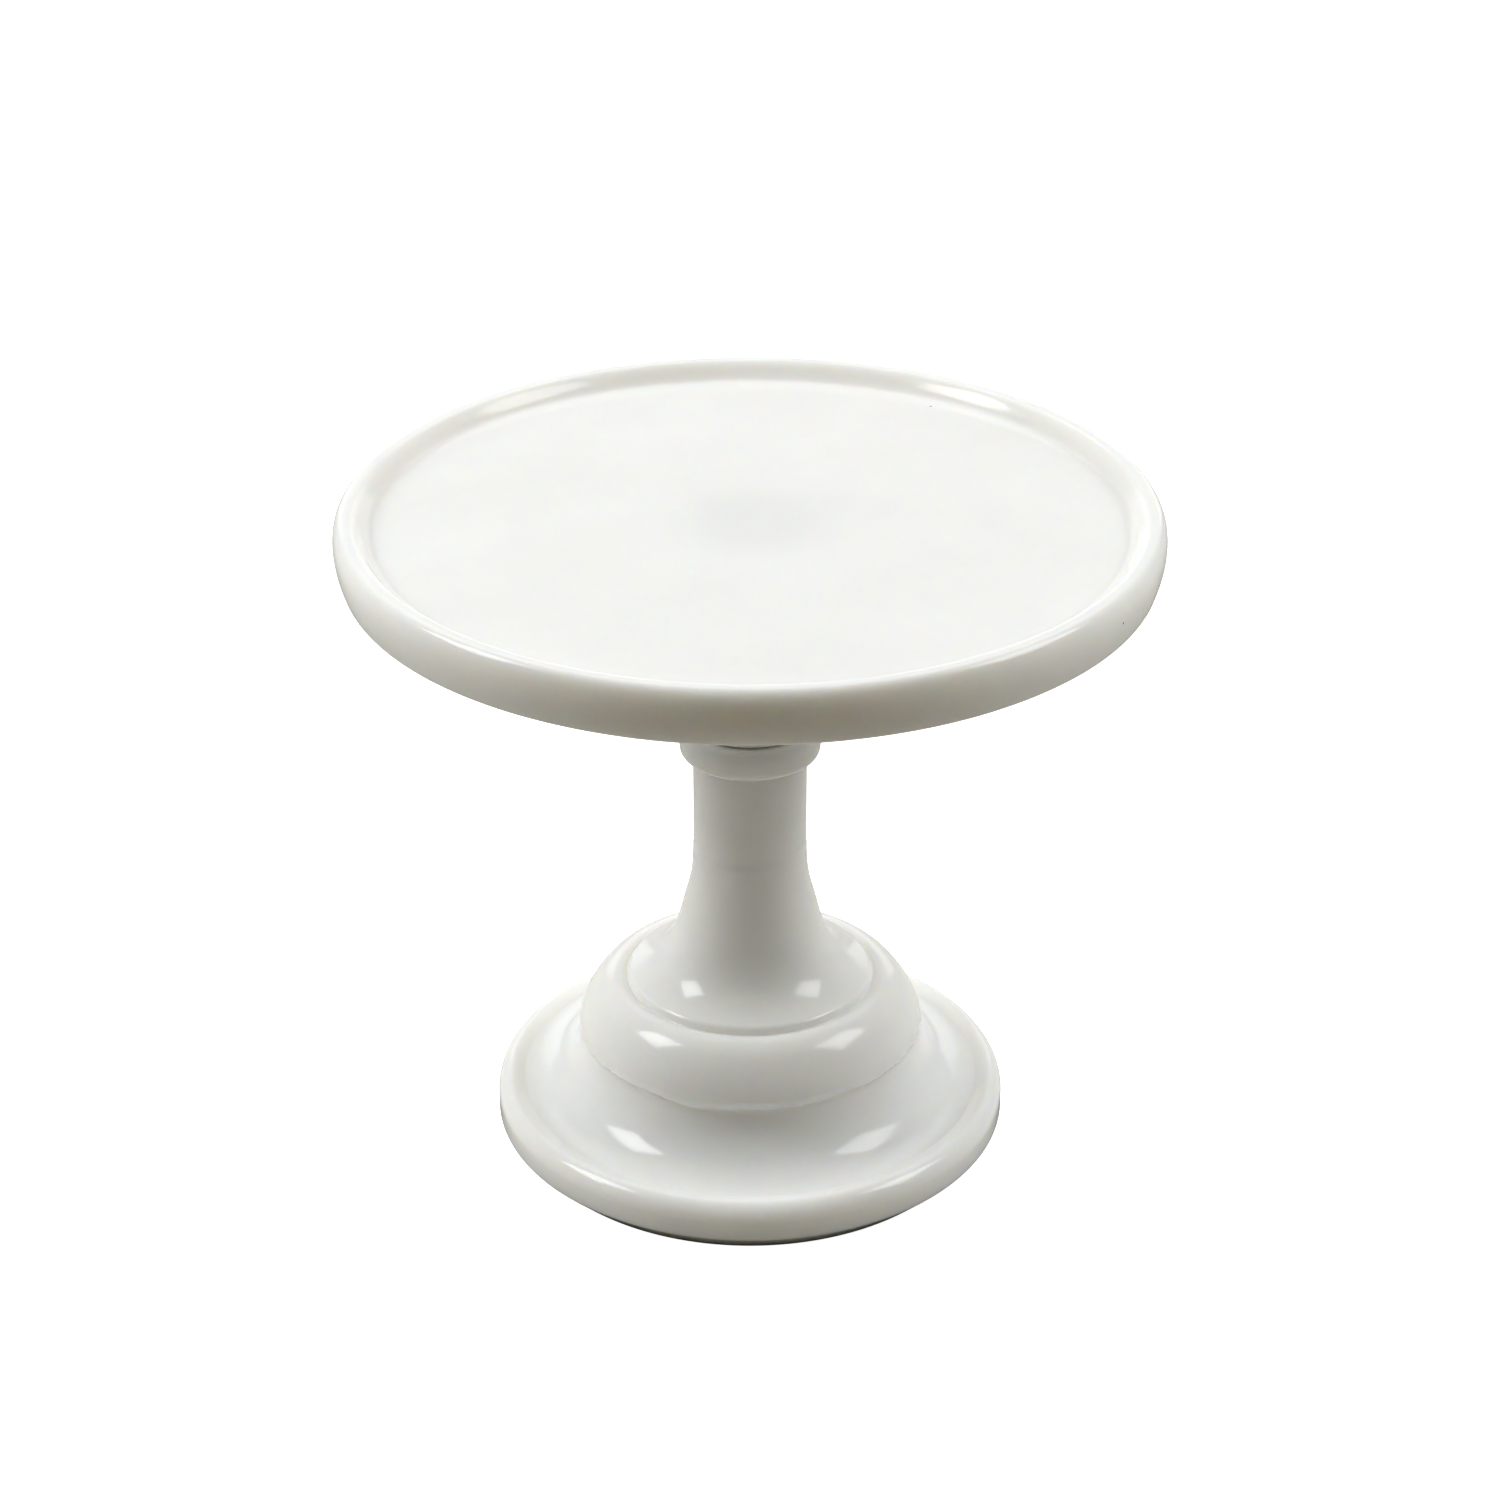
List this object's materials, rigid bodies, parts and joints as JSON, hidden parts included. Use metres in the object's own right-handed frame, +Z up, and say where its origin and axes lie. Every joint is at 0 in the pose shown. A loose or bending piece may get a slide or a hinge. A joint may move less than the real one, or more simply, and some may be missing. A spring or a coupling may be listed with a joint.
{
  "type": "cake stand",
  "caption": "Footed cake stand in opal glass: a round plate with a raised lip, bonded by its neck to a turned-profile pedestal with a hollow foot.",
  "frame": {"origin": "centre of the foot's contact ring, on the surface the stand is on", "axes": "+Z up along the axis of revolution; +X and +Y are equivalent"},
  "size_m": [0.1524, 0.1524, 0.1325],
  "materials": {
    "opal_glass": "glossy opaque white, fire polished",
    "clear_adhesive": "cured clear adhesive, seen as a thin grey line"
  },
  "bodies": {
    "root": {"plate": "opal_glass", "pedestal": "opal_glass", "bond_film": "clear_adhesive"}
  },
  "joints": []
}
